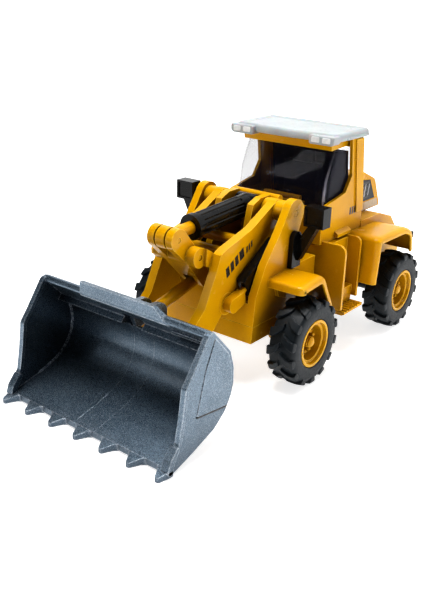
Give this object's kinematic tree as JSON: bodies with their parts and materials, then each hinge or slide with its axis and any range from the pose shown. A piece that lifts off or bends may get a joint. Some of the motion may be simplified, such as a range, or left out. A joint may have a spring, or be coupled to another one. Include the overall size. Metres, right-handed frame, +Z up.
{
  "type": "toy front loader",
  "caption": "Toy wheel loader with a toothed bucket on a lifting boom, Z-bar linkage, glazed cab and free-rolling wheels.",
  "frame": {"origin": "on the ground, at the centre of the bounding box seen from above", "axes": "+X to the loader's left side, -Y towards the bucket, +Z up"},
  "size_m": [0.1172, 0.273, 0.1312],
  "materials": {
    "yellow_plastic": "gloss moulded, amber yellow",
    "black_plastic": "gloss moulded, black",
    "bucket_plastic": "dark blue-grey with metallic flake",
    "clear_plastic": "clear tinted",
    "white_plastic": "frosted white",
    "tyre_rubber": "matt, moulded tread",
    "grey_plastic": "light grey",
    "pin_steel": "plain drawn"
  },
  "bodies": {
    "chassis": {"front_frame": "yellow_plastic", "front_belly": "yellow_plastic", "front_fender_left": "yellow_plastic", "front_fender_right": "yellow_plastic", "work_light_left": "black_plastic", "work_light_right": "black_plastic", "boom_pin": "yellow_plastic", "lift_base_pins": "yellow_plastic", "motor_case": "grey_plastic", "rear_body": "yellow_plastic", "rear_chassis": "black_plastic", "side_step_left": "yellow_plastic", "side_step_right": "yellow_plastic", "rear_fender_left": "yellow_plastic", "rear_fender_right": "yellow_plastic", "engine_hood": "yellow_plastic", "hood_vents": "black_plastic", "radiator_grille": "black_plastic", "tail_lamps": "black_plastic", "chassis_screws": "pin_steel", "cab_frame": "yellow_plastic", "cab_window": "clear_plastic", "roof": "white_plastic", "roof_lamps": "white_plastic", "cab_interior": "black_plastic", "seat": "black_plastic", "dashboard": "yellow_plastic"},
    "front_axle_set": {"front_axle": "pin_steel", "axle_gear": "grey_plastic", "front_rim_left": "yellow_plastic", "front_rim_right": "yellow_plastic", "front_tyre_left": "tyre_rubber", "front_tyre_right": "tyre_rubber"},
    "rear_axle_set": {"rear_axle": "pin_steel", "rear_rim_left": "yellow_plastic", "rear_rim_right": "yellow_plastic", "rear_tyre_left": "tyre_rubber", "rear_tyre_right": "tyre_rubber"},
    "flywheel": {"flywheel": "pin_steel"},
    "boom": {"arm_left": "yellow_plastic", "arm_right": "yellow_plastic", "boom_tubes": "yellow_plastic", "crank_pin": "yellow_plastic"},
    "bellcrank": {"bellcrank": "yellow_plastic", "crank_eye_pins": "yellow_plastic"},
    "tilt_barrel": {"tilt_barrel": "black_plastic"},
    "tilt_rod": {"tilt_rod": "yellow_plastic"},
    "link": {"link": "yellow_plastic", "link_front_pin": "yellow_plastic"},
    "bucket": {"bucket": "bucket_plastic", "bucket_pins": "pin_steel"},
    "lift_barrel_left": {"lift_barrel_left": "black_plastic"},
    "lift_barrel_right": {"lift_barrel_right": "black_plastic"},
    "lift_rod_left": {"lift_rod_left": "yellow_plastic"},
    "lift_rod_right": {"lift_rod_right": "yellow_plastic"}
  },
  "joints": [
    {"name": "front_wheels", "type": "hinge", "parent": "chassis", "child": "front_axle_set", "pos_m": [0, -0.01, 0.025], "axis": [-1, 0, 0], "continuous": true},
    {"name": "flywheel_spin", "type": "hinge", "parent": "chassis", "child": "flywheel", "pos_m": [0, -0.0005, 0.025], "axis": [-1, 0, 0], "continuous": true},
    {"name": "rear_wheels", "type": "hinge", "parent": "chassis", "child": "rear_axle_set", "pos_m": [0, 0.0986, 0.025], "axis": [-1, 0, 0], "continuous": true},
    {"name": "boom_lift", "type": "hinge", "parent": "chassis", "child": "boom", "pos_m": [0, 0.002, 0.092], "axis": [-1, 0, 0], "range_deg": [0, 45]},
    {"name": "bucket_tilt", "type": "hinge", "parent": "boom", "child": "bucket", "pos_m": [0, -0.078, 0.031], "axis": [-1, 0, 0], "range_deg": [-45, 15]},
    {"name": "bellcrank_turn", "type": "hinge", "parent": "boom", "child": "bellcrank", "pos_m": [0, -0.058, 0.077], "axis": [-1, 0, 0], "range_deg": [-10.66, 31.99]},
    {"name": "link_turn", "type": "hinge", "parent": "bellcrank", "child": "link", "pos_m": [0, -0.043, 0.059], "axis": [-1, 0, 0], "range_deg": [-31.82, 10.61]},
    {"name": "tilt_barrel_swing", "type": "hinge", "parent": "boom", "child": "tilt_barrel", "pos_m": [0, 0.002, 0.092], "axis": [-1, 0, 0], "range_deg": [-1.14, 3.43]},
    {"name": "tilt_rod_slide", "type": "slide", "parent": "tilt_barrel", "child": "tilt_rod", "axis": [0, -0.9979, -0.0642], "range_m": [-0.00687, 0.00229]},
    {"name": "lift_barrel_left_swing", "type": "hinge", "parent": "chassis", "child": "lift_barrel_left", "pos_m": [0.0252, -0.006, 0.074], "axis": [-1, 0, 0], "range_deg": [-0.5, 55.67]},
    {"name": "lift_rod_left_slide", "type": "slide", "parent": "lift_barrel_left", "child": "lift_rod_left", "axis": [0, -0.8405, -0.5419], "range_m": [0, 0.01264]},
    {"name": "lift_barrel_right_swing", "type": "hinge", "parent": "chassis", "child": "lift_barrel_right", "pos_m": [-0.0252, -0.006, 0.074], "axis": [-1, 0, 0], "range_deg": [-0.5, 55.67]},
    {"name": "lift_rod_right_slide", "type": "slide", "parent": "lift_barrel_right", "child": "lift_rod_right", "axis": [0, -0.8405, -0.5419], "range_m": [0, 0.01264]}
  ],
  "couplings": [
    {"joint": "flywheel_spin", "follows": "front_wheels", "ratio": -2},
    {"joint": "bellcrank_turn", "follows": "bucket_tilt", "ratio": -0.69695},
    {"joint": "link_turn", "follows": "bucket_tilt", "ratio": 0.69321},
    {"joint": "tilt_barrel_swing", "follows": "bucket_tilt", "ratio": -0.074779},
    {"joint": "tilt_rod_slide", "follows": "bucket_tilt", "m_per_rad": 0.0085779},
    {"joint": "lift_barrel_left_swing", "follows": "boom_lift", "ratio": 1.2129},
    {"joint": "lift_rod_left_slide", "follows": "boom_lift", "m_per_rad": 0.015779},
    {"joint": "lift_barrel_right_swing", "follows": "boom_lift", "ratio": 1.2129},
    {"joint": "lift_rod_right_slide", "follows": "boom_lift", "m_per_rad": 0.015779}
  ]
}
